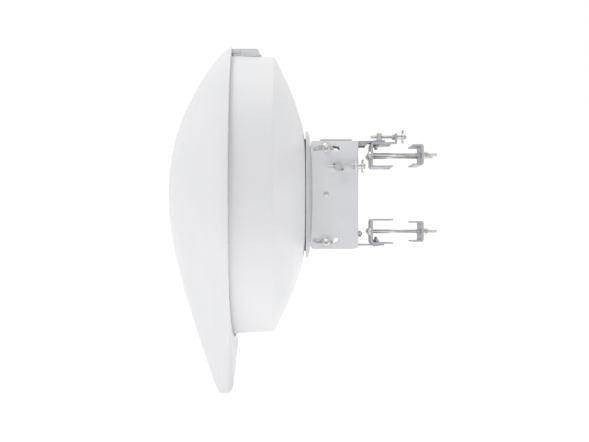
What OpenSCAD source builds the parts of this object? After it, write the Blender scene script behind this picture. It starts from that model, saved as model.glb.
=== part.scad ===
// Dish antenna with a teardrop radome on a bracket that tilts, turns and clamps to a pole.
// Origin: on the pole's axis, at the height of the dish axis. +Z up, the dish looks along -X.

/* [Radome] */
// Radius of the round part of the radome
radome_r = 232; // [231:0.5:234]
// How far the nose stands in front of the rim
nose_depth = 100.5; // [95:0.5:106]
// Half width of the tail
tail_r = 55; // [50:1:60]
// Lowest point of the tail below the dish axis
tail_drop = 312; // [308:1:316]
// Wall of the radome
radome_wall = 3; // [2.5:0.5:3.5]

/* [Dish] */
// Radius of the drum at its front
drum_r = 218.8; // [217.5:0.1:219.5]
// Wall of the drum and the domed back
shell_wall = 2; // [1.5:0.5:2.5]
// Focal length of the reflector
focal = 118; // [114:1:130]

/* [Bracket] */
// Half width of the bracket box over its cheeks
box_half = 40; // [39:0.5:41]
// Sheet thickness of the bracket
sheet = 3; // [2.5:0.5:3]
// Radius of the tilt slots about the elevation pivot
slot_r = 73; // [71:0.5:74]
// Half angle of the tilt slots
slot_half = 14; // [10:1:16]

/* [Pole mount] */
// Radius of the pole the clamps are shaped for
pole_r = 24; // [22:0.5:24.5]
// Half length of the clamps across the pole
clamp_half = 66; // [60:1:70]
// Distance of each clamp bolt from the middle
bolt_y = 48; // [46:1:52]
// Free end of the clamp bolts behind the pole axis
bolt_end = 61.6; // [60:0.2:66]

/* [Hidden] */
round_fn = 96;
hull_fn = 64;
gap = 0.3;
fit = 0.05;
rim_x = -256.6;
drum_rear_x = -196;
apex_x = -142.5;
tail_z = -(tail_drop - tail_r);
cover_z = -160;
plate_x = -141.4;
boss_y = 19;
pad_r = 88;
pad_half = 34;
gland_x = -269.6;
block_top = 227.4;
web_x = -135.4;
pivot_x = -110;
cheek_front = -134.5;
cheek_rear = -60;
cheek_top = 83.3;
cheek_low = -82.5;
turn_x = -31;
arm_z = -79.6;
upper_z = 61;
lower_z = -57.5;
chan_top = 19.5;
chan_low = -19.3;
chan_x = -41;
chan_tip = -7.5;
jaw_x = 37.2;
jaw_tip = 23.5;
jaw_half_z = 16.2;
rod_r = 2.5;
el_y = -49;
el_z = 43.2;
el_tab_x = -64;
el_swivel_x = -91;
az_y = -52;
az_z = 88.8;
az_tab_x = -2;
az_swivel_x = -28;
m6 = 3;
m5 = 2.5;

white = [0.93, 0.93, 0.94];
grey_sheet = [0.80, 0.82, 0.85];
steel = [0.66, 0.65, 0.63];
dark = [0.18, 0.18, 0.19];
board_green = [0.10, 0.32, 0.20];
alu = [0.78, 0.79, 0.80];
label_grey = [0.83, 0.84, 0.86];

// A cylinder along X from x0 to x1, centred on y and z.
module rod_x(x0, x1, y, z, r, fn = round_fn) {
  translate([x0, y, z])
    rotate([0, 90, 0])
      cylinder(h = x1 - x0, r = r, $fn = fn);
}

// A cylinder along Y from y0 to y1, centred on x and z.
module rod_y(y0, y1, x, z, r, fn = round_fn) {
  translate([x, y1, z])
    rotate([90, 0, 0])
      cylinder(h = y1 - y0, r = r, $fn = fn);
}

// A cylinder along Z from z0 to z1, centred on x and y.
module rod_z(z0, z1, x, y, r, fn = round_fn) {
  translate([x, y, z0])
    cylinder(h = z1 - z0, r = r, $fn = fn);
}

// A block between two corners.
module block(a, b) {
  translate(a)
    cube(b - a);
}

// Turns a profile of radius against depth about the dish axis. Depth runs towards -X from x0.
module spin_x(x0, z = 0, fn = round_fn) {
  translate([x0, 0, z])
    rotate([0, -90, 0])
      rotate_extrude($fn = fn)
        children();
}

// The radome's outline as a solid, drawn in from the outside by t and reaching back by extra.
module radome_solid(t, extra) {
  r = radome_r - t;
  n = nose_depth - t;
  hull() {
    spin_x(rim_x, 0, hull_fn)
      polygon([[0, -extra], [r, -extra], [r, 3], [r - 3, 9], [r - 8, 16], [r - 20, 26],
        [r - 39, 39], [r - 58, n - 49], [r - 77, n - 38.5], [r - 96, n - 29], [r - 115, n - 21],
        [r - 134, n - 14.5], [r - 152, n - 8.5], [r - 171, n - 4.2], [r - 190, n - 1.3],
        [r - 209, n - 0.2], [0, n]]);
    spin_x(rim_x, tail_z, hull_fn)
      polygon([[0, -extra], [tail_r - t - 8, -extra], [tail_r - t - 5, 0], [tail_r - t, 6],
        [tail_r - t, 22 - t / 2], [tail_r - t - 2, 24 - t / 2],
        [tail_r - t - 14, 30 - t], [tail_r - t - 30, 34.5 - t], [0, 42 - t]]);
  }
}

module radome() {
  color(white) {
    difference() {
      radome_solid(0, 0);
      radome_solid(radome_wall, 1);
      rod_z(-tail_drop - 5, tail_z - 30, gland_x, 0, 6.5);
    }
    difference() {
      rod_x(rim_x - 3, rim_x, 0, 0, radome_r - radome_wall - 0.01);
      rod_x(rim_x - 4, rim_x + 1, 0, 0, drum_r + 3.2);
      block([rim_x - 4, -radome_r, -radome_r - 1], [rim_x + 1, radome_r, cover_z + 0.3]);
      rim_holes(1.45);
    }
  }
}

// The small holes in the radome's back flange.
module rim_holes(r) {
  for (a = [-110:44:110])
    rotate([a, 0, 0])
      rod_x(rim_x - 3.5, rim_x, 0, radome_r - 5.5, r);
}

// Middle of the domed back, then the whole outside: radius against depth in front of the apex.
dome_line = [[0, 0], [67, 0.3], [86, 1], [104, 3.6]];
outer_line = concat(dome_line, [[117, 6.8], [136, 12.5], [155, 19.5], [174, 27.5], [193, 36.6],
  [211.7, 46.2], [214.9, 48.8], [215.6, 50.8], [drum_r, 119.5]]);
inner_line = [[drum_r - shell_wall, 119.5], [215.6 - shell_wall, 51.5], [210.8, 48.3],
  [193, 39.1], [174, 30], [155, 22], [136, 15], [117, 9], [104, 5.9], [86, 3.1], [67, 2.4],
  [0, 2.1]];

module rear_housing() {
  color(white)
    difference() {
      spin_x(apex_x)
        polygon(concat(outer_line, inner_line));
      for (y = [-boss_y, boss_y], z = [-boss_y, boss_y])
        rod_x(-150, -140, y, z, m6 + gap);
    }
}

module rim_gasket() {
  color(dark)
    spin_x(rim_x - 0.4)
      polygon([[drum_r + 0.1, 0], [drum_r + 3, 0], [drum_r + 3, 3], [drum_r + 0.1, 3]]);
}

module top_block() {
  corner = 4.6;
  color(white)
    difference() {
      union() {
        block([rim_x + gap, -30, 212], [-219, 30, block_top]);
        block([-220, -30, 212], [-214.5, 30, block_top - corner]);
        rod_y(-30, 30, -219, block_top - corner, corner);
      }
      spin_x(apex_x + 1)
        polygon([[0, 0], [215.8, 50], [drum_r + 0.1, 120.5], [0, 120.5]]);
      block([rim_x, -31, 219.1], [-242.4, -28, 220.1]);
      block([-243.2, -31, 219.1], [-242.4, -28.8, 226]);
      rod_y(-31, -20, -235, 222, 1.6);
    }
}

module top_block_screw() {
  color(white) {
    rod_y(-30.8, -30, -235, 222, 2.4);
    rod_y(-30, -21, -235, 222, 1.5);
  }
}

module top_bung() {
  color(white) {
    rod_x(-214.5, -212.5, 0, 219.4, 2.4);
    rod_x(-212.5, -211.4, 0, 219.4, 1.6);
  }
}

// The lid behind the tail: growing from the rim beside the drum, then leaning forwards to the bottom.
module tail_cover() {
  color(white)
    difference() {
      hull() {
        rod_x(rim_x + gap, -250, 0, 0, radome_r - 1, hull_fn);
        rod_x(rim_x + gap, rim_x + 1, 0, tail_z, tail_r - 9, hull_fn);
      }
      block([rim_x - 1, -radome_r, cover_z], [-249, radome_r, radome_r]);
      rod_x(rim_x - 1, -249, 0, 0, drum_r + 4);
      block([rim_x - 1, -30, -262], [-253.6, 30, -230]);
      translate([0, radome_r, 0])
        rotate([90, 0, 0])
          linear_extrude(height = 2 * radome_r)
            polygon([[-249, cover_z + 1], [rim_x + 1, cover_z + 1], [rim_x + 1, -182],
              [-254.4, -202], [-252.8, -218], [-250, -234], [-249, -234]]);
    }
}

function dish_depth(r) = r * r / (4 * focal);

module reflector() {
  steps = 12;
  edge = 208;
  color(alu)
    difference() {
      spin_x(-158)
        polygon(concat(
          [for (i = [0:steps]) [edge * i / steps, dish_depth(edge * i / steps)]],
          [[216, dish_depth(edge) + 1], [216, dish_depth(edge) + 2.6]],
          [for (i = [0:steps]) [edge * (steps - i) / steps,
            dish_depth(edge * (steps - i) / steps) + 1.6]]));
      rod_x(-165, -150, 0, 0, 11.1);
    }
}

module feed_tube() {
  color(alu)
    difference() {
      union() {
        rod_x(-262, -146, 0, 0, 11);
        rod_x(-157.8, -154.8, 0, 0, 24);
      }
      rod_x(-263, -150, 0, 0, 8.5);
    }
}

module sub_reflector() {
  color(white)
    difference() {
      spin_x(-262.1)
        polygon([[0, 0], [11, 0], [27, 10], [27, 13], [9, 9.5], [0, 8.5]]);
      rod_x(-266, -262, 0, 0, 3);
    }
}

module radio_board() {
  color(board_green)
    block([-276, -34, -284], [-274.4, 34, -236]);
  color(dark)
    block([-279, -14, -268], [-276, 14, -246]);
}

module heat_spreader() {
  color(alu) {
    block([-274.4, -34, -262], [-271.4, 34, -236]);
    for (y = [-30:10:30])
      block([-271.5, y - 1, -262], [-263, y + 1, -236]);
  }
}

module port_housing() {
  color(dark)
    difference() {
      block([-274.4, -30, -290], [-258.5, 30, -266]);
      for (y = [-16, 4])
        block([-271, y, -291], [-261, y + 13, -272]);
      rod_x(-265, -258, -24, -278, m5 - 1);
    }
}

module cable_gland() {
  color(dark)
    difference() {
      union() {
        rod_z(0.8 - tail_drop, -307, gland_x, 0, 6.3);
        rod_z(-307.1, -304.4, gland_x, 0, 8.1);
      }
      rod_z(-314, -302, gland_x, 0, 3.2);
    }
}

module ground_screw() {
  color(steel) {
    rod_x(-258.5, -257, -24, -278, 3);
    rod_x(-264, -258.5, -24, -278, m5 - 1.05);
  }
}

module rim_screws() {
  color(steel) {
    rim_holes(1.4);
    for (a = [-110:44:110])
      rotate([a, 0, 0])
        rod_x(rim_x, rim_x + 1.4, 0, radome_r - 5.5, 2.6);
  }
}

// The pad between the domed back and the mount plate, with the ring that carries the plate.
module boss_ring() {
  color(dark)
    difference() {
      union() {
        intersection() {
          rod_x(-150, plate_x - 0.1, 0, 0, pad_r);
          block([-151, -pad_half, -pad_r], [plate_x, pad_half, pad_r]);
        }
        rod_x(-146, plate_x + sheet, 0, 0, 31.6);
      }
      rod_x(-151, -130, 0, 0, 14);
      spin_x(apex_x + fit)
        polygon(concat(dome_line, [[104, 20], [0, 20]]));
      for (y = [-boss_y, boss_y], z = [-boss_y, boss_y])
        rod_x(-152, -130, y, z, m6 + gap);
    }
}

module mount_plate() {
  color(grey_sheet)
    difference() {
      union() {
        block([plate_x + sheet, -35, -98], [web_x, 35, 98]);
        for (s = [-1, 1])
          translate([0, s * 33.5, 0])
            block([plate_x, -1.5, -98], [web_x, 1.5, 98]);
      }
      rod_x(-150, -130, 0, 0, 14);
      for (y = [-boss_y, boss_y], z = [-boss_y, boss_y])
        rod_x(-150, -130, y, z, m6 + gap);
      for (z = [-85, 85])
        rod_x(-150, -130, 0, z, 4);
      for (s = [0, 1])
        mirror([0, 0, s])
          translate([0, 40, 0])
            rotate([90, 0, 0])
              linear_extrude(height = 80)
                polygon([[web_x, 89], [web_x + 1, 89], [web_x + 1, 99], [plate_x + sheet - 0.6, 99]]);
    }
}

module plate_screws() {
  color(steel)
    for (y = [-boss_y, boss_y], z = [-boss_y, boss_y]) {
      rod_x(-150, web_x + sheet, y, z, m6);
      rod_x(web_x + sheet, web_x + sheet + 5, y, z, 5);
    }
}

// One cheek of the tilt bracket, between y0 and y0 + sheet.
module tilt_cheek(y0) {
  translate([pivot_x, y0 + sheet, 0])
    rotate([90, 0, 0])
      linear_extrude(height = sheet)
        polygon([[web_x - pivot_x, -74], [-14, -79], [8, -79], [12, -72], [12, -20],
          [27, 28], [27, 52], [12, 60], [12, 72], [8, 79], [-14, 79], [web_x - pivot_x, 74]]);
}

module tilt_bracket() {
  in = box_half - sheet - 0.4;
  color(grey_sheet)
    difference() {
      union() {
        block([web_x, -in, -74], [web_x + sheet, in, 74]);
        tilt_cheek(-in);
        tilt_cheek(in - sheet);
      }
      rod_y(-60, 60, pivot_x, 0, m6 + fit);
      for (s = [-1, 1])
        rod_y(-60, 60, pivot_x, s * slot_r, m6 + gap);
      rod_y(-60, 0, el_swivel_x, el_z, m6 + fit);
      rod_x(-150, -120, 0, 0, 14);
      for (y = [-boss_y, boss_y], z = [-boss_y, boss_y])
        rod_x(-150, -120, y, z, m6 + gap);
    }
}

// A flange head, a shank and a nut along +Y, starting at y = 0 under the head.
module slot_bolt() {
  rod_y(-0.8, 0, 0, 0, 6.7);
  rod_y(-5, -0.8, 0, 0, 5.3, 6);
  rod_y(0, 14, 0, 0, m6);
  rod_y(7, 12, 0, 0, 5.6, 6);
}

module slot_bolts() {
  color(steel)
    for (z = [-slot_r, slot_r], s = [0, 1])
      mirror([0, s, 0])
        translate([pivot_x, -box_half - gap, z])
          slot_bolt();
}

module elevation_swivel() {
  color(steel)
    difference() {
      union() {
        rod_y(el_y - 5.6, -box_half - 1, el_swivel_x, el_z, 6);
        rod_y(-box_half - 1.1, -30, el_swivel_x, el_z, m6);
        rod_y(-33, -30, el_swivel_x, el_z, 5);
      }
      for (z = [-0.7, 0, 0.7])
        rod_x(el_swivel_x - 7, el_swivel_x + 7, el_y, el_z + z, rod_r + gap);
    }
}

// A cheek of the box drawn flat, with x towards the pole and y up.
module cheek_flat() {
  difference() {
    polygon(concat([for (z = [-77:7:77]) [cheek_front + 3 * (1 - pow(z / 77, 2)), z]],
      [[cheek_front + 0.5, 80], [cheek_front + 2, 82.2], [cheek_front + 4.5, cheek_top],
      [cheek_rear, cheek_top], [cheek_rear, cheek_low], [-69, cheek_low - 2.5],
      [-129.5, cheek_low - 2.5], [cheek_front + 1.6, cheek_low - 1], [cheek_front + 0.3, -80]]));
    translate([pivot_x, 0])
      circle(r = m6 + fit, $fn = round_fn);
  }
}

// One curved slot about the elevation pivot; a is where its middle lies, x right and y up.
module curved_slot(r, w, half, a) {
  translate([pivot_x, 0, 0])
    rotate([0, 0, a - half]) {
      rotate_extrude(angle = 2 * half, $fn = round_fn)
        translate([r - w, 0])
          square([2 * w, 10]);
      translate([r, 0, 0])
        cylinder(h = 10, r = w, $fn = round_fn);
      rotate([0, 0, 2 * half])
        translate([r, 0, 0])
          cylinder(h = 10, r = w, $fn = round_fn);
    }
}

// A cheek whose outer face lies on y = -box_half; screw_slot adds the slot the swivel pin runs in.
module cheek(screw_slot) {
  pin_r = sqrt(pow(el_swivel_x - pivot_x, 2) + pow(el_z, 2));
  pin_a = atan2(el_z, el_swivel_x - pivot_x);
  difference() {
    translate([0, sheet - box_half, 0])
      rotate([90, 0, 0])
        linear_extrude(height = sheet)
          cheek_flat();
    for (a = [-90, 90])
      translate([0, 5 - box_half, 0])
        rotate([90, 0, 0])
          curved_slot(slot_r, m6 + gap, slot_half, a);
    if (screw_slot)
      translate([0, 5 - box_half, 0])
        rotate([90, 0, 0])
          curved_slot(pin_r, m6 + gap, 7, pin_a);
  }
}

module near_cheek() {
  color(grey_sheet) {
    cheek(true);
    difference() {
      block([el_tab_x - sheet / 2, -57, 35.5], [el_tab_x + sheet / 2, -box_half + 0.01, 51]);
      rod_x(el_tab_x - 5, el_tab_x + 5, el_y, el_z, rod_r + 0.75);
    }
  }
}

module far_cheek() {
  color(grey_sheet)
    mirror([0, 1, 0])
      cheek(false);
}

module azimuth_frame() {
  in = box_half - sheet;
  wall_x = cheek_rear - sheet;
  color(grey_sheet)
    difference() {
      union() {
        block([wall_x, -in, cheek_low], [cheek_rear, in, cheek_top]);
        block([-119, -box_half, cheek_top], [-70, box_half, cheek_top + 2.4]);
        block([-119, -in, 80.8], [-19.6, in, cheek_top + 0.01]);
        block([-37, az_y - 8, 80.8], [-19.6, -in + 1, cheek_top]);
        for (y = [-in, in - 2.4])
          block([cheek_rear - 1, y, 75.5], [-47, y + 2.4, 81]);
        block([wall_x + 1, -in, arm_z], [-19.6, in, arm_z + 2.5]);
      }
      rod_z(-90, 90, turn_x, 0, m6 + fit);
      rod_z(-90, 90, 8, 0, 33.5);
      rod_z(70, 90, az_swivel_x, az_y, m5 - 0.45);
      rod_x(-70, -50, 0, 0, 20);
      rod_x(-70, -50, -30, -61, m5 + 0.1);
    }
}

module pivot_pins() {
  color(steel)
    for (s = [0, 1])
      mirror([0, s, 0]) {
        rod_y(-box_half - 1.6, -box_half, pivot_x, 0, 4.2);
        rod_y(-box_half, -32, pivot_x, 0, m6);
        rod_y(-33.4, -32, pivot_x, 0, 4.6);
      }
}

module label_pad() {
  color(label_grey)
    block([-90, -box_half - 0.3, -39], [-62.5, -box_half, 22]);
}

module frame_bolt() {
  color(steel) {
    rod_x(cheek_rear, cheek_rear + 4.5, -30, -61, 4.6, 6);
    rod_x(cheek_rear - sheet - 4, cheek_rear + 6, -30, -61, m5);
    rod_x(cheek_rear - sheet - 4, cheek_rear - sheet, -30, -61, 4.4);
  }
}

// The smooth hub that seats a fine screw in its tab; x is the tab's middle.
module screw_seat(x, y, z) {
  difference() {
    rod_x(x + sheet / 2 + gap, x + 8, y, z, 4);
    rod_x(x, x + 9, y, z, rod_r + fit);
  }
}

// A fine screw through a tab at x: rod from x0 to x1, lock nut, wing head and end nut.
module fine_screw(x0, x1, x, y, z) {
  rod_x(x0, x1, y, z, rod_r);
  rod_x(x - 6.4, x - sheet / 2 - 0.6, y, z, 4.6, 6);
  rod_x(x + 8.3, x + 12.5, y, z, 4);
  block([x + 8.8, y - 1.2, z - 11], [x + 12, y + 1.2, z + 11]);
  rod_x(x + 12.5, x + 14.5, y, z, 3.6, 6);
}

module elevation_seat() {
  color(alu)
    screw_seat(el_tab_x, el_y, el_z);
}

module elevation_screw() {
  color(steel)
    fine_screw(-110, -49, el_tab_x, el_y, el_z);
}

module azimuth_swivel() {
  color(steel)
    difference() {
      union() {
        rod_z(cheek_top + gap, az_z + 5.6, az_swivel_x, az_y, 4.4);
        rod_z(70.5, cheek_top + 1, az_swivel_x, az_y, m5 - 0.5);
      }
      for (s = [-0.95, 0, 0.95])
        rod_x(az_swivel_x - 6, az_swivel_x + 6, az_y + s, az_z, rod_r + gap);
      rod_z(70, 80.7, az_swivel_x, az_y, 9);
    }
}

// A strip with its two left corners rounded, from the origin.
module rounded_left(w, h, r) {
  translate([r, 0])
    square([w - r, h]);
  translate([0, r])
    square([r, h - 2 * r]);
  for (y = [r, h - r])
    translate([r, y])
      circle(r = r, $fn = round_fn);
}

// A folded channel along Y: web at x = 0, flanges towards +X, bottom at z = 0.
module folded(w, h, web, flange) {
  translate([0, clamp_half, 0])
    rotate([90, 0, 0])
      linear_extrude(height = 2 * clamp_half)
        difference() {
          rounded_left(w, h, web + 0.8);
          translate([web, flange])
            rounded_left(w, h - 2 * flange, 0.8);
        }
}

// A front channel about its bolt height z.
module channel(z) {
  difference() {
    translate([chan_x, 0, z + chan_low])
      folded(chan_tip - chan_x, chan_top - chan_low, sheet, 2.5);
    rod_z(z - 40, z + 40, 0, 0, pole_r);
    rod_z(z - 40, z + 40, turn_x, 0, m6 + fit);
    for (y = [-bolt_y, bolt_y])
      rod_x(chan_x - 1, chan_x + 4, y, z, m6 + fit);
  }
}

module upper_channel() {
  top = upper_z + chan_top;
  color(grey_sheet)
    difference() {
      union() {
        channel(upper_z);
        block([chan_tip - 1, az_y - 8, top - 2.5], [az_tab_x + sheet / 2, az_y + 8, top]);
        block([az_tab_x - sheet / 2, az_y - 8, top - 2.5],
          [az_tab_x + sheet / 2, az_y + 8, az_z + 5]);
      }
      rod_x(az_tab_x - 3, az_tab_x + 3, az_y, az_z, rod_r + gap);
    }
}

module lower_channel() {
  color(grey_sheet)
    channel(lower_z);
}

module turn_bolts() {
  color(steel) {
    rod_z(70.8, cheek_top + gap, turn_x, 0, m6);
    rod_z(cheek_top + gap, cheek_top + 2.7, turn_x, 0, 5);
    rod_z(73.9, 77.9, turn_x, 0, 5.3, 6);
    rod_z(arm_z - gap, arm_z + 13.8, turn_x, 0, m6);
    rod_z(arm_z - 3.2, arm_z - gap, turn_x, 0, 5);
    rod_z(arm_z + 5.4, arm_z + 9.4, turn_x, 0, 5.3, 6);
  }
}

module azimuth_seat() {
  color(alu)
    screw_seat(az_tab_x, az_y, az_z);
}

module azimuth_screw() {
  color(steel)
    fine_screw(-41.4, 14.5, az_tab_x, az_y, az_z);
}

module clamp_bolts() {
  color(steel)
    for (y = [-bolt_y, bolt_y], z = [lower_z, upper_z]) {
      rod_x(chan_x, bolt_end, y, z, m6 - 0.1);
      difference() {
        translate([chan_x + 1, y, z])
          sphere(r = 6.4, $fn = round_fn);
        block([chan_x, y - 9, z - 9], [chan_x + 20, y + 9, z + 9]);
      }
    }
}

// A rear jaw about its bolt height z.
module jaw(z) {
  difference() {
    translate([jaw_x + sheet, 0, z - jaw_half_z])
      mirror([1, 0, 0])
        folded(jaw_x + sheet - jaw_tip, 2 * jaw_half_z, sheet, 2.5);
    translate([0, 0, z - 20])
      linear_extrude(height = 40)
        polygon([[jaw_tip - 1, -26], [29, -10], [29, 10], [jaw_tip - 1, 26]]);
    for (y = [-bolt_y, bolt_y])
      rod_x(jaw_x - 1, jaw_x + 5, y, z, m6 + gap);
  }
}

module upper_jaw() {
  color(grey_sheet)
    jaw(upper_z);
}

module lower_jaw() {
  color(grey_sheet)
    jaw(lower_z);
}

// Flat washer, spring washer and hex nut on both bolts of a jaw at height z.
module jaw_nuts(z) {
  x = jaw_x + sheet;
  for (y = [-bolt_y, bolt_y])
    difference() {
      union() {
        rod_x(x, x + 1.4, y, z, 6.2);
        rod_x(x + 1.4, x + 3, y, z, 5);
        rod_x(x + 3, x + 8, y, z, 5.77, 6);
      }
      rod_x(x - 1, x + 9, y, z, m6 + 0.25);
    }
}

module upper_jaw_nuts() {
  color(steel)
    jaw_nuts(upper_z);
}

module lower_jaw_nuts() {
  color(steel)
    jaw_nuts(lower_z);
}

radome();
rear_housing();
rim_gasket();
top_block();
top_block_screw();
top_bung();
tail_cover();
reflector();
feed_tube();
sub_reflector();
radio_board();
heat_spreader();
port_housing();
cable_gland();
ground_screw();
rim_screws();
boss_ring();
mount_plate();
plate_screws();
tilt_bracket();
slot_bolts();
elevation_swivel();
near_cheek();
far_cheek();
azimuth_frame();
pivot_pins();
label_pad();
frame_bolt();
elevation_seat();
elevation_screw();
azimuth_swivel();
upper_channel();
lower_channel();
turn_bolts();
azimuth_seat();
azimuth_screw();
clamp_bolts();
upper_jaw();
lower_jaw();
upper_jaw_nuts();
lower_jaw_nuts();
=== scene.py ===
import math

import bmesh
import bpy
import numpy as np
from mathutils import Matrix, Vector


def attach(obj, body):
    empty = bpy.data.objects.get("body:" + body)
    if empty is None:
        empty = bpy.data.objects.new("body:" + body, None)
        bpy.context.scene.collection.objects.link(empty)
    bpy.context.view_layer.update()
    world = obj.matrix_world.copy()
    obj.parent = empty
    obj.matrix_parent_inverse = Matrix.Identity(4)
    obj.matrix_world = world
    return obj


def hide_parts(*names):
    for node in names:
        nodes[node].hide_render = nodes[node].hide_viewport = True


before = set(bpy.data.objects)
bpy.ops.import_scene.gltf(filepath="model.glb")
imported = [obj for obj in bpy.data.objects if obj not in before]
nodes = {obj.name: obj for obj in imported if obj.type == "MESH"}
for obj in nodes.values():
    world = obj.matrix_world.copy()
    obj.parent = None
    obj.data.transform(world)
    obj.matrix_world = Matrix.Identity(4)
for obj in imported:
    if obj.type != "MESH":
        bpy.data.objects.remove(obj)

MM = 0.001
TAU = 2 * math.pi
# Places shared with the solids, in millimetres.
PIVOT_X = -110.0
SLOT_R = 73.0
BOX_HALF = 40.0
CHEEK_REAR = -60.0
TURN_X = -31.0
CHANNEL_X = -41.0
JAW_BACK = 40.2
BOLT_Y = 48.0
UPPER_Z = 61.0
LOWER_Z = -57.5
BOSS_Y = 19.0
TILT_BASE = -132.4
FLANGE_R = 226.5
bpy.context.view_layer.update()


# ---------------------------------------------------------------- materials

def shader(name, colour, rough, metal=0.0):
    """A new node material with one principled shader; returns material, nodes, links and shader."""
    mat = bpy.data.materials.new(name)
    mat.use_nodes = True
    tree = mat.node_tree
    bsdf = next(n for n in tree.nodes if n.type == "BSDF_PRINCIPLED")
    bsdf.inputs["Base Color"].default_value = (*colour, 1)
    bsdf.inputs["Roughness"].default_value = rough
    bsdf.inputs["Metallic"].default_value = metal
    return mat, tree.nodes, tree.links, bsdf


def noise(ns, ln, scale, detail=3.0, stretch=(1, 1, 1)):
    """A noise texture on object coordinates, stretched along the axes; returns its value output."""
    co = ns.new("ShaderNodeTexCoord")
    mp = ns.new("ShaderNodeMapping")
    mp.inputs["Scale"].default_value = stretch
    tx = ns.new("ShaderNodeTexNoise")
    tx.inputs["Scale"].default_value = scale
    tx.inputs["Detail"].default_value = detail
    ln.new(co.outputs["Object"], mp.inputs["Vector"])
    ln.new(mp.outputs["Vector"], tx.inputs["Vector"])
    return tx.outputs["Fac"]


def spread(ns, ln, value, low, high, lo_in=0.35, hi_in=0.65):
    """Maps a value between lo_in and hi_in onto low to high."""
    r = ns.new("ShaderNodeMapRange")
    r.inputs["From Min"].default_value = lo_in
    r.inputs["From Max"].default_value = hi_in
    r.inputs["To Min"].default_value = low
    r.inputs["To Max"].default_value = high
    ln.new(value, r.inputs["Value"])
    return r.outputs["Result"]


def blended(ns, ln, factor, a, b):
    """Colour a turning into colour b with the factor."""
    m = ns.new("ShaderNodeMix")
    m.data_type = "RGBA"
    m.inputs["A"].default_value = (*a, 1)
    m.inputs["B"].default_value = (*b, 1)
    ln.new(factor, m.inputs["Factor"])
    return m.outputs["Result"]


def bumped(ns, ln, bsdf, layers):
    """Stacks bump layers of (height, strength, distance) onto the shader's normal."""
    last = None
    for height, strength, distance in layers:
        b = ns.new("ShaderNodeBump")
        b.inputs["Strength"].default_value = strength
        b.inputs["Distance"].default_value = distance
        ln.new(height, b.inputs["Height"])
        if last is not None:
            ln.new(last, b.inputs["Normal"])
        last = b.outputs["Normal"]
    ln.new(last, bsdf.inputs["Normal"])


def edge_amount(ns, ln, radius):
    """How worn an edge is: the difference between the true normal and the rounded one."""
    bev = ns.new("ShaderNodeBevel")
    bev.samples = 4
    bev.inputs["Radius"].default_value = radius
    geo = ns.new("ShaderNodeNewGeometry")
    dot = ns.new("ShaderNodeVectorMath")
    dot.operation = "DOT_PRODUCT"
    ln.new(bev.outputs["Normal"], dot.inputs[0])
    ln.new(geo.outputs["Normal"], dot.inputs[1])
    return spread(ns, ln, dot.outputs["Value"], 1.0, 0.0, 0.80, 0.97)


def plastic(name, colour, shade, rough, grain, depth):
    """A moulded or painted skin: slow tone drift, fine grain in the bump and uneven gloss."""
    mat, ns, ln, bsdf = shader(name, colour, rough)
    drift = noise(ns, ln, 7.0, 4.0)
    ln.new(blended(ns, ln, spread(ns, ln, drift, 0, 1), colour, shade), bsdf.inputs["Base Color"])
    gloss = noise(ns, ln, 60.0, 5.0)
    ln.new(spread(ns, ln, gloss, rough - 0.05, rough + 0.07), bsdf.inputs["Roughness"])
    bumped(ns, ln, bsdf, [(noise(ns, ln, grain, 3.0), 0.25, depth),
                          (noise(ns, ln, grain * 0.12, 2.0), 0.18, depth * 3)])
    return mat


def coated(name, colour, shade, rough, metal_seen):
    """Powder coat on sheet: pebbled bump, slight tone drift and edges rubbed a little lighter."""
    mat, ns, ln, bsdf = shader(name, colour, rough)
    drift = blended(ns, ln, spread(ns, ln, noise(ns, ln, 22.0, 5.0), 0, 1), colour, shade)
    worn = ns.new("ShaderNodeMath")
    worn.operation = "MULTIPLY"
    ln.new(edge_amount(ns, ln, 0.0007), worn.inputs[0])
    ln.new(spread(ns, ln, noise(ns, ln, 160.0, 4.0), 0, 0.7), worn.inputs[1])
    mix = ns.new("ShaderNodeMix")
    mix.data_type = "RGBA"
    mix.inputs["B"].default_value = (*metal_seen, 1)
    ln.new(drift, mix.inputs["A"])
    ln.new(worn.outputs["Value"], mix.inputs["Factor"])
    ln.new(mix.outputs["Result"], bsdf.inputs["Base Color"])
    ln.new(spread(ns, ln, noise(ns, ln, 90.0, 4.0), rough - 0.06, rough + 0.08),
           bsdf.inputs["Roughness"])
    bumped(ns, ln, bsdf, [(noise(ns, ln, 1500.0, 2.0), 0.3, 0.00006),
                          (noise(ns, ln, 240.0, 3.0), 0.2, 0.00012)])
    return mat


def bare(name, colour, shade, rough, stretch):
    """Bare metal: a fine lay drawn out along one way, with uneven brightness and gloss."""
    mat, ns, ln, bsdf = shader(name, colour, rough, 1.0)
    lay = noise(ns, ln, 420.0, 4.0, stretch)
    ln.new(blended(ns, ln, spread(ns, ln, noise(ns, ln, 75.0, 4.0), 0, 1), colour, shade),
           bsdf.inputs["Base Color"])
    ln.new(spread(ns, ln, lay, rough - 0.07, rough + 0.10), bsdf.inputs["Roughness"])
    bumped(ns, ln, bsdf, [(lay, 0.2, 0.00005), (noise(ns, ln, 900.0, 2.0), 0.15, 0.00003)])
    return mat


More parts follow.
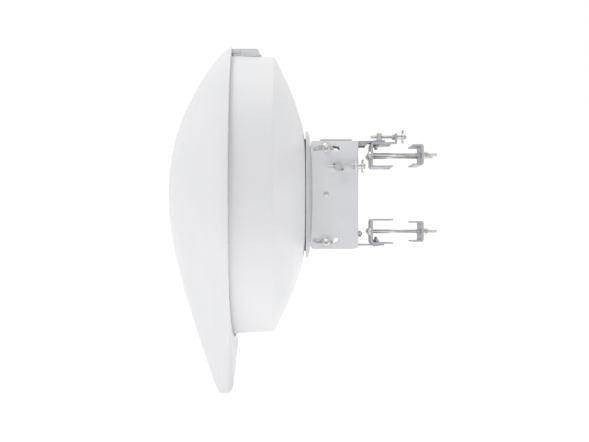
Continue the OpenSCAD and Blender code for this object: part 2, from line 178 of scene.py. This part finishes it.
def board_material(name):
    """Solder mask with copper traces as thin lighter lines on a fine grid."""
    mat, ns, ln, bsdf = shader(name, (0.02, 0.16, 0.07), 0.35)
    co = ns.new("ShaderNodeTexCoord")
    br = ns.new("ShaderNodeTexBrick")
    br.inputs["Scale"].default_value = 90.0
    br.inputs["Mortar Size"].default_value = 0.03
    br.inputs["Color1"].default_value = (0.02, 0.16, 0.07, 1)
    br.inputs["Color2"].default_value = (0.02, 0.13, 0.06, 1)
    br.inputs["Mortar"].default_value = (0.10, 0.30, 0.12, 1)
    ln.new(co.outputs["Object"], br.inputs["Vector"])
    ln.new(br.outputs["Color"], bsdf.inputs["Base Color"])
    ln.new(spread(ns, ln, noise(ns, ln, 200.0, 3.0), 0.28, 0.45), bsdf.inputs["Roughness"])
    bumped(ns, ln, bsdf, [(br.outputs["Fac"], 0.3, 0.00005)])
    return mat


# Coats of the sheet that share one of the record's slots.
MAT = {
    "moulded_white": plastic("moulded_white", (0.80, 0.80, 0.81), (0.77, 0.775, 0.79), 0.42, 1300.0,
                             0.00004),
    "painted_white": plastic("painted_white", (0.80, 0.80, 0.81), (0.775, 0.78, 0.79), 0.36, 700.0,
                             0.00003),
    "plate_coat": coated("plate_coat", (0.90, 0.905, 0.92), (0.88, 0.885, 0.90), 0.40,
                         (0.95, 0.95, 0.95)),
    "clamp_coat": coated("clamp_coat", (0.50, 0.51, 0.545), (0.47, 0.48, 0.515), 0.42,
                         (0.70, 0.70, 0.71)),
    "coated_sheet": coated("coated_sheet", (0.80, 0.81, 0.83), (0.775, 0.79, 0.812), 0.42,
                           (0.86, 0.865, 0.87)),
    "fastener_steel": bare("fastener_steel", (0.82, 0.80, 0.775), (0.70, 0.685, 0.66), 0.36,
                           (1, 6, 6)),
    "bare_aluminium": bare("bare_aluminium", (0.78, 0.785, 0.79), (0.70, 0.705, 0.715), 0.35,
                           (1, 1, 8)),
    "black_plastic": plastic("black_plastic", (0.03, 0.03, 0.032), (0.045, 0.045, 0.048), 0.5, 900.0,
                             0.00005),
    # Real grey rubber on the gasket and gland; on the boss ring its darkness is painted shade.
    "grey_rubber": plastic("grey_rubber", (0.16, 0.16, 0.165), (0.20, 0.20, 0.205), 0.65, 800.0,
                           0.00006),
    "board_laminate": board_material("board_laminate"),
    "label_film": plastic("label_film", (0.79, 0.80, 0.825), (0.77, 0.78, 0.805), 0.34, 500.0,
                          0.00002),
}


# ---------------------------------------------------------------- mesh tools

def quads(m, n, wrap_m, wrap_n):
    """The four corner numbers of every cell of an m by n grid, closed along either way when asked."""
    i = np.arange(m if wrap_m else m - 1)[:, None]
    j = np.arange(n if wrap_n else n - 1)[None, :]
    i2, j2 = (i + 1) % m, (j + 1) % n
    return np.stack([i * n + j, i * n + j2, i2 * n + j2, i2 * n + j], -1).reshape(-1, 4)


def piece(name, grids, material, body, stands_for=(), sharp=32):
    """One object from grids of points in millimetres, each closed around its second way.
    A grid is (points, wrap) where wrap closes its first way too; poles and seams are merged."""
    points, cells, start = [], [], 0
    for grid, wrap in grids:
        m, n, _ = grid.shape
        points.append(grid.reshape(-1, 3))
        cells.append(quads(m, n, wrap, True) + start)
        start += m * n
    mesh = bpy.data.meshes.new(name)
    mesh.from_pydata((np.concatenate(points) * MM).tolist(), [], np.concatenate(cells).tolist())
    finish_mesh(mesh, sharp)
    return put(name, mesh, material, body, stands_for)


def finish_mesh(mesh, sharp):
    """Merges doubled points, turns every face outwards and shades it smooth up to the sharp angle."""
    bm = bmesh.new()
    bm.from_mesh(mesh)
    bmesh.ops.remove_doubles(bm, verts=bm.verts, dist=2e-7)
    bmesh.ops.dissolve_degenerate(bm, edges=bm.edges, dist=1e-7)
    bmesh.ops.recalc_face_normals(bm, faces=bm.faces)
    bm.to_mesh(mesh)
    bm.free()
    mesh.shade_smooth()
    mesh.set_sharp_from_angle(angle=math.radians(sharp))


def put(name, mesh, material, body, stands_for):
    """Links the mesh as an object at the origin, on its body, in the place of CAD nodes."""
    obj = bpy.data.objects.new(name, mesh)
    bpy.context.scene.collection.objects.link(obj)
    mesh.materials.append(MAT[material])
    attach(obj, body)
    if stands_for:
        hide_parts(*stands_for)
    return obj


AXES = {"x": ((1, 0, 0), (0, 1, 0), (0, 0, 1)), "-x": ((-1, 0, 0), (0, 1, 0), (0, 0, 1)),
        "y": ((0, 1, 0), (1, 0, 0), (0, 0, 1)), "-y": ((0, -1, 0), (1, 0, 0), (0, 0, 1)),
        "z": ((0, 0, 1), (1, 0, 0), (0, 1, 0)), "-z": ((0, 0, -1), (1, 0, 0), (0, 1, 0))}


def at(origin, axis, grid, wrap=False):
    """Moves a local grid, whose first coordinate runs along the axis, to its place."""
    return np.array(origin, float) + grid @ np.array(AXES[axis], float), wrap


def turned(profile, n=48, flats=None, turn=0.0):
    """A profile of (along, radius) pairs turned about the first axis. With flats, the radius is cut
    back to a hexagon of that half width across flats."""
    p = np.array(profile, float)
    a = np.linspace(0, TAU, n, endpoint=False)[None, :] + turn
    r = np.repeat(p[:, 1:2], n, 1)
    if flats is not None:
        r = np.minimum(r, flats / np.cos((a + math.pi / 6) % (math.pi / 3) - math.pi / 6))
    return np.stack([np.repeat(p[:, :1], n, 1), r * np.cos(a), r * np.sin(a)], -1)


def threaded(a0, a1, r, pitch, depth, n=24, per_turn=6):
    """A threaded rod: the radius falls by a triangle wave of along / pitch - angle / full turn, and
    the ends taper in."""
    rows = int((a1 - a0) / pitch * per_turn) + 1
    along = np.linspace(a0, a1, rows)[:, None]
    a = np.linspace(0, TAU, n, endpoint=False)[None, :]
    wave = np.abs(((along / pitch - a / TAU) % 1.0) * 2 - 1)
    taper = np.clip((np.minimum(along - a0, a1 - along)) / 0.8, 0, 1)
    rr = (r - depth * wave) * (0.82 + 0.18 * taper)
    body = np.stack([np.repeat(along, n, 1), rr * np.cos(a), rr * np.sin(a)], -1)
    ends = [np.repeat(np.array([[[e, 0.0, 0.0]]]), n, 1) for e in (a0, a1)]
    return np.concatenate([ends[0], body, ends[1]], 0)


def washer(a, t, bore, out):
    """A flat washer's closed section with eased edges."""
    e = min(0.25, t * 0.3)
    return [(a, bore), (a, out - e), (a + e, out), (a + t - e, out), (a + t, out - e), (a + t, bore)]


def hex_nut(origin, axis, a, h, flats, bore):
    """A hexagon nut with both corners chamfered, as a closed section round its bore."""
    c = flats / math.cos(math.pi / 6)
    sec = [(a + 0.35, bore), (a, bore + 0.35), (a, flats * 0.93), (a + 0.45 * (c - flats) + 0.2, c),
           (a + h - 0.45 * (c - flats) - 0.2, c), (a + h, flats * 0.93), (a + h, bore + 0.35),
           (a + h - 0.35, bore)]
    return at(origin, axis, turned(sec, 72, flats), True)


def hex_head(origin, axis, a, h, flats):
    """A solid hexagon head standing on a, with a chamfered and dished top."""
    c = flats / math.cos(math.pi / 6)
    sec = [(a, 0), (a, c), (a + h - 0.45 * (c - flats) - 0.2, c), (a + h, flats * 0.92),
           (a + h, flats * 0.62), (a + h - 0.35, flats * 0.5), (a + h - 0.4, 0)]
    return at(origin, axis, turned(sec, 72, flats))


def rounded_line(points, per=10):
    """A smooth line through the points: Catmull-Rom pieces, worked out all at once."""
    p = np.array(points, float)
    p = np.concatenate([2 * p[:1] - p[1:2], p, 2 * p[-1:] - p[-2:-1]])
    t = np.linspace(0, 1, per, endpoint=False)[None, :, None]
    a, b, c, d = (p[i:len(p) - 3 + i][:, None, :] for i in range(4))
    q = 0.5 * (2 * b + (c - a) * t + (2 * a - 5 * b + 4 * c - d) * t ** 2
               + (3 * b - a - 3 * c + d) * t ** 3)
    return np.concatenate([q.reshape(-1, p.shape[1]), p[-2:-1]])


def softened(node, material, body, width=0.45, sharp=18):
    """A copy of a CAD node's mesh with its flat faces joined and its edges eased by a small bevel."""
    src = nodes[node].data
    bm = bmesh.new()
    bm.from_mesh(src)
    bmesh.ops.remove_doubles(bm, verts=bm.verts, dist=2e-6)
    bmesh.ops.dissolve_limit(bm, angle_limit=math.radians(0.6), verts=bm.verts, edges=bm.edges)
    edges = [e for e in bm.edges if len(e.link_faces) == 2 and e.calc_face_angle(0) > 0.7]
    bmesh.ops.bevel(bm, geom=edges, offset=width * MM, segments=2, profile=0.6, affect="EDGES",
                    clamp_overlap=True)
    bmesh.ops.recalc_face_normals(bm, faces=bm.faces)
    mesh = bpy.data.meshes.new(node + "_soft")
    bm.to_mesh(mesh)
    bm.free()
    mesh.shade_smooth()
    mesh.set_sharp_from_angle(angle=math.radians(sharp))
    return put(node + "_soft", mesh, material, body, (node,))


# ---------------------------------------------------------------- radome and tail cover

RIM = -256.6
NOSE = 100.1
R_TOP = 232.0
DROP = 312.0


def outline(x, angle, inset=0.0):
    """The radome's section at x, the round part's radius as a share of the rim's. Two circles, the
    round part and the tail's end, are joined by a smooth maximum of their support functions
    h(angle) = R and c cos(angle) + r. Insetting takes a constant off h."""
    big = R_TOP * x
    a, b = 121.0 * x ** 2.55, DROP - big
    reach = -2.5 * np.log(np.exp(-a / 2.5) + np.exp(-b / 2.5))
    reach = np.maximum(reach, 0)
    e = np.clip(reach / 80.0, 0, 1)
    end = 45.0 + 10.0 * np.clip((x - 0.88) / 0.10, 0, 1) ** 2
    small = big * (1 - e) + end * e
    c = -(big + reach) + small
    k = 0.3 + 8.0 * e
    low = c * np.cos(angle) + small
    top = np.maximum(big, low)
    h = top + k * np.log(np.exp((big - top) / k) + np.exp((low - top) / k)) - inset
    w = 1 / (1 + np.exp(np.clip((big - low) / k, -60, 60)))
    dh = -w * c * np.sin(angle)
    return h * np.sin(angle) + dh * np.cos(angle), h * np.cos(angle) - dh * np.sin(angle)


def even_angles(n, low=0.0, high=TAU, share=0.5):
    """n angles whose steps are a share of even steps in angle and the rest in length along the rim."""
    a = np.linspace(low, high, 6001)
    y, z = outline(1.0, a)
    length = np.concatenate([[0.0], np.cumsum(np.hypot(np.diff(y), np.diff(z)))])
    way = share * (a - low) / (high - low) + (1 - share) * length / length[-1]
    return np.interp(np.linspace(0, 1, n), way, a)[None, :]


def tail_share(z):
    """0 on the round part, rising to 1 at the tail's end."""
    t = np.clip((-z - 165.0) / 125.0, 0, 1)
    return t * t * (3 - 2 * t)


def rolled(depth, share):
    """How far the rim is drawn in at a depth in front of it: a quarter round of 1.6 mm on the round
    part, growing by 6.4 (1 - depth / 7) to the power 1.8 at the tail's end."""
    small = 1.6 - np.sqrt(np.clip(1.6 ** 2 - np.clip(1.6 - depth, 0, 1.6) ** 2, 0, None))
    return small + 6.4 * share * np.clip(1 - depth / 7.0, 0, 1) ** 1.8


def radome_grid(n=320):
    """Outside from the nose to the rim, round the rolled edge, and back up the inside.
    Depth in front of the rim is NOSE q to the power 0.745 + 0.32 q (1 - q), with q = 1 - x squared."""
    a = even_angles(n + 1)[:, :-1]
    x = np.sin(np.linspace(0, 1, 72) * math.pi / 2)
    q = 1 - x ** 2
    d = NOSE * q ** (0.745 + 0.32 * q * (1 - q))
    share = tail_share(outline(1.0, a)[1])
    rows = []

    def add(xs, depth, inset):
        y, z = outline(xs, a, inset)
        rows.append(np.stack([np.full_like(y, RIM - depth), y, z], -1))

    rows.append(np.tile(np.array([RIM - NOSE, 0.0, 0.0]), (1, n, 1)))
    outer = [(xi, di) for xi, di in zip(x, d) if xi > 1e-6 and di > 7.2]
    for xi, di in outer:
        add(xi, di, 0.0)
    for depth in (7.0, 5.6, 4.2, 3.0, 2.0, 1.2, 0.6, 0.2, 0.0):
        xd = np.interp(depth, d[::-1], x[::-1])
        add(xd, depth, rolled(depth, share))
    for depth, inset in ((0.0, 9.8), (3.0, 9.8), (3.0, 4.0), (7.0, 3.0)):
        add(np.interp(depth, d[::-1], x[::-1]), depth, inset + 4.0 * share)
    for xi, di in outer[::-1]:
        if di > 11 and xi > 0.03:
            add(xi, di - 3.0, 3.0)
    rows.append(np.tile(np.array([RIM - NOSE + 3.0, 0.0, 0.0]), (1, n, 1)))
    return np.concatenate(rows, 0)


piece("radome_skin", [(radome_grid(), False)], "moulded_white", "dish_unit", ("radome",), 40)


def cover_grid(n=240):
    """The lid behind the tail: at each place along the rim a closed section from the arc round the
    drum out to the rim. Beside the drum its thickness grows with the cube of the way down; below,
    its rear face leans forwards by 5.4 mm over the tail's length."""
    low = np.interp(160.5, -outline(1.0, np.linspace(1.8, math.pi, 4001))[1],
                    np.linspace(1.8, math.pi, 4001))
    a = even_angles(n, low, TAU - low, 0.3)
    yo, zo = outline(1.0, a)
    share = tail_share(zo)
    yo, zo = outline(1.0, a, 1.7 + 6.4 * share)
    pol = np.arctan2(yo, zo)
    inner = 222.8
    ya, za = inner * np.sin(pol), inner * np.cos(pol)
    reach = np.clip(np.hypot(yo, zo) - inner, 0, None)

    def point(depth, s, inset):
        k = np.clip(s * reach - inset, 0, None) / np.maximum(reach, 1e-6)
        y, z = ya + (yo - ya) * k, za + (zo - za) * k
        lean = 5.4 * np.clip((-231.0 - z) / 72.0, 0, 1) ** 1.3
        grown = np.clip((-148.0 - z) / 86.0, 0, 1) ** 3
        thick = (6.57 - lean) * (0.06 + 0.94 * grown)
        return np.stack([RIM + 0.03 + (depth - 0.03) * thick / 6.57, y, z], -1)

    sec = [point(0.03, 0, 0), point(0.03, 0.5, 0), point(0.03, 1, 0), point(2.2, 1, 0.1),
           point(4.2, 1, 0.6), point(5.5, 1, 1.6), point(6.3, 1, 3.0), point(6.6, 1, 5.0),
           point(6.6, 0.8, 5.0), point(6.6, 0.6, 4.0), point(6.6, 0.4, 3.0), point(6.6, 0.2, 0.8),
           point(6.4, 0, 0.0)]
    ring = np.concatenate(sec, 0)
    ends = [np.repeat(ring[:, k:k + 1].mean(0, keepdims=True), len(sec), 0) for k in (0, -1)]
    ring = np.concatenate([ends[0], ring, ends[1]], 1)
    return ring.transpose(1, 0, 2)


piece("tail_cover_skin", [(cover_grid(), False)], "moulded_white", "tail_cover_set",
      ("tail_cover",), 40)


# ---------------------------------------------------------------- drum, top block

def housing_grid():
    """The drum and domed back as one closed section turned about the dish axis."""
    out = rounded_line([(-142.5, 0), (-142.55, 35), (-142.8, 64), (-143.5, 85), (-145.9, 104),
                        (-149.6, 117), (-155.4, 136), (-162.2, 155), (-170.2, 174), (-179.1, 193),
                        (-184.4, 203.4), (-187.6, 209.6), (-188.9, 212.1), (-190.0, 213.8), (-191.2, 214.9),
                        (-192.8, 215.5), (-196.0, 215.75), (-215.0, 216.6), (-235.0, 217.5),
                        (-262.0, 218.8)], 6)
    back = out[::-1].copy()
    step = np.gradient(back, axis=0)
    nrm = np.stack([step[:, 1], -step[:, 0]], -1)
    nrm /= np.linalg.norm(nrm, axis=1, keepdims=True)
    inner = back + 2.0 * nrm
    inner[:, 1] = np.maximum(inner[:, 1], 0)
    inner[-1] = (-144.5, 0)
    return turned(np.concatenate([out, inner]), 256)


h = housing_grid()
piece("housing_skin", [(h, False)], "painted_white", "dish_unit", ("rear_housing",), 40)

softened("top_block", "moulded_white", "dish_unit", 0.25, 18)

for node in ("near_cheek", "far_cheek"):
    softened(node, "coated_sheet", "azimuth_box")
softened("azimuth_frame", "clamp_coat", "azimuth_box")
softened("mount_plate", "plate_coat", "dish_unit")
softened("tilt_bracket", "coated_sheet", "dish_unit")
for node in ("upper_channel", "lower_channel"):
    softened(node, "clamp_coat", "pole_mount")
softened("upper_jaw", "clamp_coat", "upper_jaw_set")
softened("lower_jaw", "clamp_coat", "lower_jaw_set")


# ---------------------------------------------------------------- fasteners

def flange_bolt(origin, axis):
    """A flange-head bolt seated at the origin, its head along the axis."""
    back = {"-y": "y", "y": "-y"}[axis]
    skirt = [(0, 0), (0, 6.5), (0.35, 6.7), (0.8, 6.55), (1.3, 5.6), (1.9, 5.0), (1.9, 0)]
    return [at(origin, axis, turned(skirt, 56)), hex_head(origin, axis, 1.2, 4.2, 4.75),
            at(origin, back, threaded(0, 13.8, 3.0, 1.0, 0.4)),
            hex_nut(origin, back, 7.1, 4.9, 4.9, 2.6)]


grids = []
for z in (-SLOT_R, SLOT_R):
    for s, axis in ((-1, "-y"), (1, "y")):
        grids += flange_bolt((PIVOT_X, s * (BOX_HALF + 0.3), z), axis)
piece("slot_bolts_turned", grids, "fastener_steel", "dish_unit", ("slot_bolts",))

grids = []
for s, axis, back in ((-1, "-y", "y"), (1, "y", "-y")):
    o = (PIVOT_X, s * BOX_HALF, 0.0)
    dome = [(0, 0), (0, 4.0), (0.3, 4.2), (0.9, 3.9), (1.4, 2.8), (1.6, 1.4), (1.6, 0)]
    grids += [at(o, axis, turned(dome, 48)),
              at(o, back, turned([(0, 0), (0, 3.0), (6.4, 3.0), (6.4, 0)], 48)),
              at(o, back, turned([(6.4, 0), (6.4, 4.4), (6.8, 4.6), (7.6, 4.4), (8.0, 3.6), (8.0, 0)],
                                 48))]
piece("pivot_pins_turned", grids, "fastener_steel", "azimuth_box", ("pivot_pins",))

grids = []
for y in (-BOLT_Y, BOLT_Y):
    for z in (LOWER_Z, UPPER_Z):
        o = (CHANNEL_X, y, z)
        dome = [(0, 0), (0, 6.0), (0.4, 6.25)] + [
            (5.3 * math.sin(t), 6.25 * math.cos(t)) for t in np.linspace(0.12, 1.5, 10)] + [(5.35, 0)]
        grids += [at(o, "-x", turned(dome, 56)),
                  at(o, "x", turned([(0, 0), (0, 2.9), (37.4, 2.9), (38.2, 2.5), (38.2, 0)], 32)),
                  at(o, "x", threaded(38.0, 102.6, 2.9, 1.0, 0.42))]
piece("clamp_bolts_turned", grids, "fastener_steel", "pole_mount", ("clamp_bolts",))

for name, z in (("upper", UPPER_Z), ("lower", LOWER_Z)):
    grids = []
    for y in (-BOLT_Y, BOLT_Y):
        o = (JAW_BACK, y, z)
        grids += [at(o, "x", turned(washer(0.0, 1.4, 3.25, 6.2), 48), True),
                  at(o, "x", turned(washer(1.45, 1.5, 3.3, 5.1), 48), True),
                  hex_nut(o, "x", 3.0, 5.0, 5.0, 3.0)]
    piece(name + "_jaw_nuts_turned", grids, "fastener_steel", name + "_jaw_set",
          (name + "_jaw_nuts",))

o = (CHEEK_REAR, -30.0, -61.0)
piece("frame_bolt_turned",
      [hex_nut(o, "x", 0.0, 4.5, 4.0, 2.2), at(o, "x", threaded(-7.0, 5.9, 2.5, 0.8, 0.35)),
       at(o, "x", turned([(-7.0, 0), (-7.0, 3.4), (-6.6, 4.2), (-5.0, 4.4), (-3.0, 4.4), (-3.0, 0)]))],
      "fastener_steel", "azimuth_box", ("frame_bolt",))

o = (TURN_X, 0.0, 0.0)
grids = [at(o, "z", threaded(70.8, 79.0, 3.0, 1.0, 0.4)),
         at(o, "z", turned([(78.9, 0), (78.9, 2.95), (83.8, 2.95), (83.8, 0)])),
         at(o, "z", turned([(83.6, 0), (83.6, 4.6), (84.0, 5.0), (85.0, 4.8), (85.8, 3.6), (86.0, 0)])),
         hex_nut(o, "z", 73.9, 4.0, 4.6, 2.6),
         at(o, "-z", threaded(65.8, 75.4, 3.0, 1.0, 0.4)),
         at(o, "-z", turned([(75.3, 0), (75.3, 2.95), (80.1, 2.95), (80.1, 0)])),
         at(o, "-z", turned([(79.9, 0), (79.9, 4.6), (80.3, 5.0), (81.4, 4.8), (82.5, 3.8), (82.8, 0)])),
         hex_nut(o, "-z", 70.2, 4.0, 4.6, 2.6)]
piece("turn_bolts_turned", grids, "fastener_steel", "pole_mount", ("turn_bolts",))


def wing(origin, a):
    """Two wing ears across the screw: oval sections along the ear, growing wider and leaning away
    from the tab towards the tips, with rounded ends."""
    s = np.linspace(-1, 1, 49)[:, None]
    t = np.linspace(0, TAU, 24, endpoint=False)[None, :]
    end = np.sqrt(np.clip(1 - s ** 10, 0, 1))
    wide = (1.3 + 1.2 * np.abs(s) ** 2.5) * end
    thick = (1.5 - 0.45 * np.abs(s)) * end
    lean = 0.7 * np.abs(s) ** 2
    g = np.stack([a + lean + wide * np.cos(t), thick * np.sin(t), 11.0 * s * np.ones_like(t)], -1)
    return at(origin, "x", g)


def fine_screw(origin, a0, a1):
    """A fine screw about the tab's middle: thread, lock nut, winged knob and end nut."""
    knob = [(8.3, 0), (8.3, 3.5), (8.6, 4.0), (11.6, 4.0), (12.4, 3.4), (12.5, 0)]
    return [at(origin, "x", threaded(a0, a1, 2.5, 0.8, 0.3)),
            hex_nut(origin, "x", -6.4, 4.2, 4.0, 2.25),
            at(origin, "x", turned(washer(-2.9, 0.8, 2.45, 4.7), 40), True),
            at(origin, "x", turned(knob, 48)), wing(origin, 9.8),
            hex_nut(origin, "x", 12.5, 2.0, 3.5, 2.2)]


EL = (-64.0, -49.0, 43.2)
AZ = (-2.0, -52.0, 88.8)
seat = [(1.8, 2.57), (1.8, 3.7), (2.1, 4.0), (7.7, 4.0), (8.0, 3.7), (8.0, 2.57)]
piece("elevation_screw_turned", fine_screw(EL, -46.0, 15.0), "fastener_steel",
      "elevation_screw_set", ("elevation_screw",))
piece("azimuth_screw_turned", fine_screw(AZ, -39.4, 16.5), "fastener_steel",
      "azimuth_screw_set", ("azimuth_screw",))
piece("elevation_seat_turned", [at(EL, "x", turned(seat, 48), True)], "bare_aluminium",
      "elevation_seat_set", ("elevation_seat",))
piece("azimuth_seat_turned", [at(AZ, "x", turned(seat, 48), True)], "bare_aluminium",
      "pole_mount", ("azimuth_seat",))
softened("elevation_swivel", "fastener_steel", "elevation_nut", 0.5, 25)
softened("azimuth_swivel", "fastener_steel", "azimuth_nut", 0.4, 25)


def pan_screw(origin, axis, r, h, shank, length):
    """A small pan-head screw with a round dimple in its head."""
    back = {"x": "-x", "-x": "x", "-y": "y"}[axis]
    sec = [(0, 0), (0, r * 0.96), (h * 0.3, r), (h * 0.75, r * 0.86), (h, r * 0.6), (h, r * 0.36),
           (h * 0.55, r * 0.2), (h * 0.5, 0)]
    return [at(origin, axis, turned(sec, 40)),
            at(origin, back, turned([(0, 0), (0, shank), (length, shank * 0.9), (length, 0)], 24))]


piece("top_screw_turned", pan_screw((-235.0, -30.0, 222.0), "-y", 2.4, 0.8, 1.5, 9.0),
      "painted_white", "dish_unit", ("top_block_screw",))
grids = []
for deg in range(-110, 111, 44):
    c, s = math.cos(math.radians(deg)), math.sin(math.radians(deg))
    grids += pan_screw((RIM, -FLANGE_R * s, FLANGE_R * c), "x", 2.6, 1.4, 1.4, 2.9)
piece("rim_screws_turned", grids, "fastener_steel", "dish_unit", ("rim_screws",))
grids = []
for y in (-BOSS_Y, BOSS_Y):
    for z in (-BOSS_Y, BOSS_Y):
        o = (TILT_BASE, y, z)
        grids += [hex_head(o, "x", 0.0, 5.0, 4.9),
                  at(o, "x", turned(washer(0.0, 1.2, 0.0, 5.6), 40)),
                  at(o, "-x", threaded(0, 17.6, 3.0, 1.0, 0.4))]
piece("plate_screws_turned", grids, "fastener_steel", "dish_unit", ("plate_screws",))

# Nodes shown as their solids, with the material each one gets.
USED = {"label_pad": "label_film", "rim_gasket": "grey_rubber", "top_bung": "moulded_white",
        "reflector": "bare_aluminium", "feed_tube": "bare_aluminium", "sub_reflector": "moulded_white",
        "radio_board": "board_laminate", "heat_spreader": "bare_aluminium",
        "port_housing": "black_plastic", "cable_gland": "grey_rubber", "ground_screw": "fastener_steel",
        # The boss ring's dark rubber colour is painted shade: it stands in for the shadowed gap between the
        # dome and the mount plate.
        "boss_ring": "grey_rubber"}
for node, material in USED.items():
    mats = nodes[node].data.materials
    mats.clear()
    mats.append(MAT[material])


# ---------------------------------------------------------------- stage

def backdrop():
    """A pale sheet lying under the tail and sweeping up behind in a quarter circle of 2 m radius."""
    t = np.linspace(0, math.pi / 2, 25)
    y = np.concatenate([[-8.0, -2.0, 2.0], 3.0 + 2.0 * np.sin(t), [5.0]])
    z = np.concatenate([[0.0, 0.0, 0.0], 2.0 - 2.0 * np.cos(t), [9.0]]) - 0.3123
    x = np.linspace(-9.0, 9.0, 9)
    grid = np.stack([np.broadcast_to(x[None, :], (len(y), 9)), np.broadcast_to(y[:, None], (len(y), 9)),
                     np.broadcast_to(z[:, None], (len(y), 9))], -1)
    mesh = bpy.data.meshes.new("backdrop")
    mesh.from_pydata(grid.reshape(-1, 3).tolist(), [], quads(len(y), 9, False, False).tolist())
    mesh.shade_smooth()
    obj = bpy.data.objects.new("backdrop", mesh)
    bpy.context.scene.collection.objects.link(obj)
    mat, ns, ln, bsdf = shader("backdrop", (0.86, 0.86, 0.865), 0.12)
    bsdf.inputs["Emission Color"].default_value = (1, 1, 1, 1)
    bsdf.inputs["Emission Strength"].default_value = 0.42
    mesh.materials.append(mat)


def lamp(name, place, target, size, power, colour=(1, 1, 1)):
    """A square soft light aimed at a point."""
    data = bpy.data.lights.new(name, "AREA")
    data.size = size
    data.energy = power
    data.color = colour
    obj = bpy.data.objects.new(name, data)
    bpy.context.scene.collection.objects.link(obj)
    way = np.array(target) - np.array(place)
    obj.location = place
    obj.rotation_euler = Vector(way).to_track_quat("-Z", "Y").to_euler()
    return obj


backdrop()
lamp("key", (-1.4, -1.2, 2.6), (-0.15, 0, 0), 1.4, 28)
lamp("fill", (2.2, -1.6, 1.2), (-0.1, 0, 0), 1.6, 4.0)
lamp("top", (0.3, 0.2, 2.8), (-0.15, 0, 0), 2.0, 12)

world = bpy.data.worlds.new("studio")
world.use_nodes = True
wn, wl = world.node_tree.nodes, world.node_tree.links
way = wn.new("ShaderNodeTexCoord")
part = wn.new("ShaderNodeSeparateXYZ")
ramp = wn.new("ShaderNodeMapRange")
for key, value in (("From Min", -0.9), ("From Max", 0.5), ("To Min", 0.36), ("To Max", 0.95)):
    ramp.inputs[key].default_value = value
wl.new(way.outputs["Generated"], part.inputs["Vector"])
wl.new(part.outputs["Y"], ramp.inputs["Value"])
wl.new(ramp.outputs["Result"], wn["Background"].inputs["Strength"])
wn["Background"].inputs["Color"].default_value = (1, 1, 1, 1)
bpy.context.scene.world = world
bpy.context.scene.view_settings.view_transform = "Standard"

cam_data = bpy.data.cameras.new("camera")
cam_data.sensor_width = 36
cam_data.lens = 121.9
cam_data.shift_y = 0.0141
camera = bpy.data.objects.new("camera", cam_data)
camera.location = (-0.1592, -3.14, -0.0543)
camera.rotation_euler = (math.pi / 2, 0, 0)
bpy.context.scene.collection.objects.link(camera)
bpy.context.scene.camera = camera
